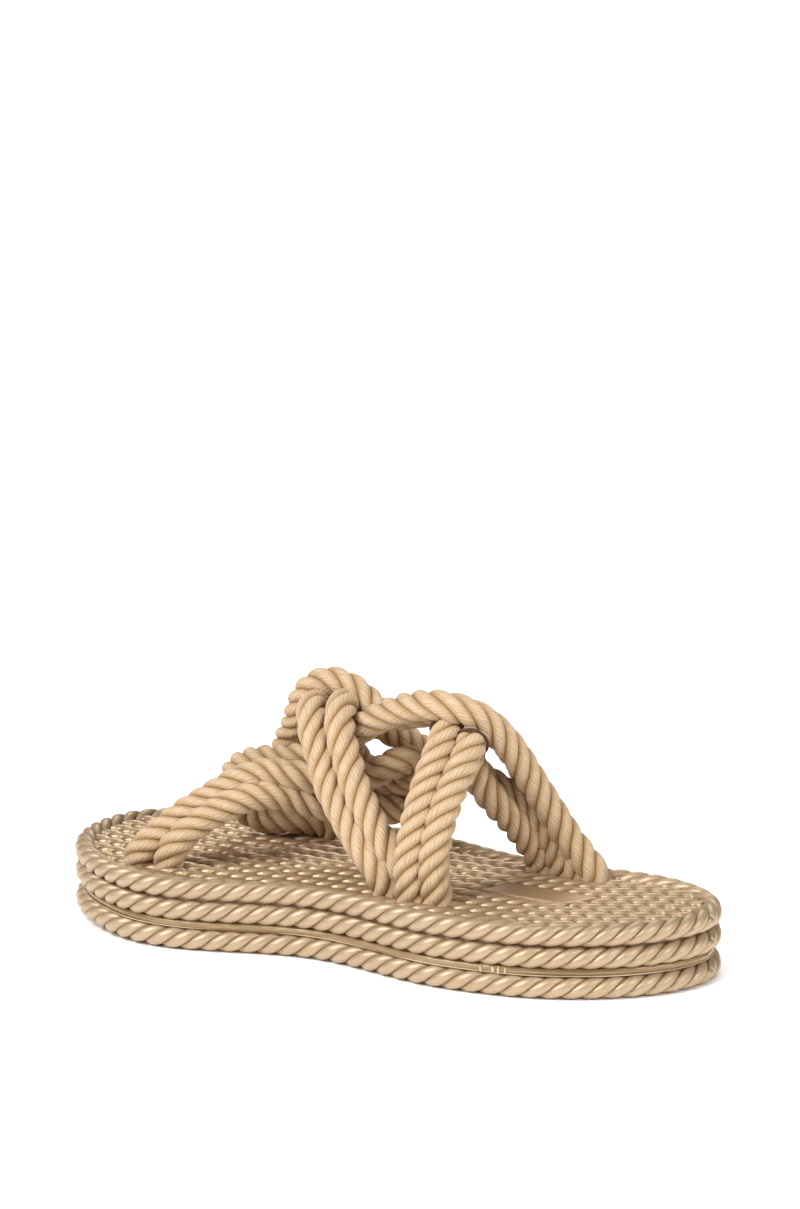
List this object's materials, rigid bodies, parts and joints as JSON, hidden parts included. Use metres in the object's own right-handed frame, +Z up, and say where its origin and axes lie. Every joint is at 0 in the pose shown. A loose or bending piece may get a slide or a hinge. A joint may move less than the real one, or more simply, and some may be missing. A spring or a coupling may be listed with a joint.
{
  "type": "woven rope sandal",
  "caption": "Open sandal: thick moulded sole with rope-like beads round its side, and a knotted upper of paired laid cords that hold the foot over the instep.",
  "frame": {"origin": "middle of the shoe's box, on the floor", "axes": "+X to the toe, +Y to the inner side of the foot, +Z up"},
  "size_m": [0.255, 0.1081, 0.0978],
  "materials": {
    "tread": "satin, slightly pearly",
    "sole": "satin, slightly pearly",
    "cord": "soft laid cotton"
  },
  "bodies": {
    "root": {"outsole": "tread", "midsole_footbed": "sole", "upper": "cord"}
  },
  "joints": []
}
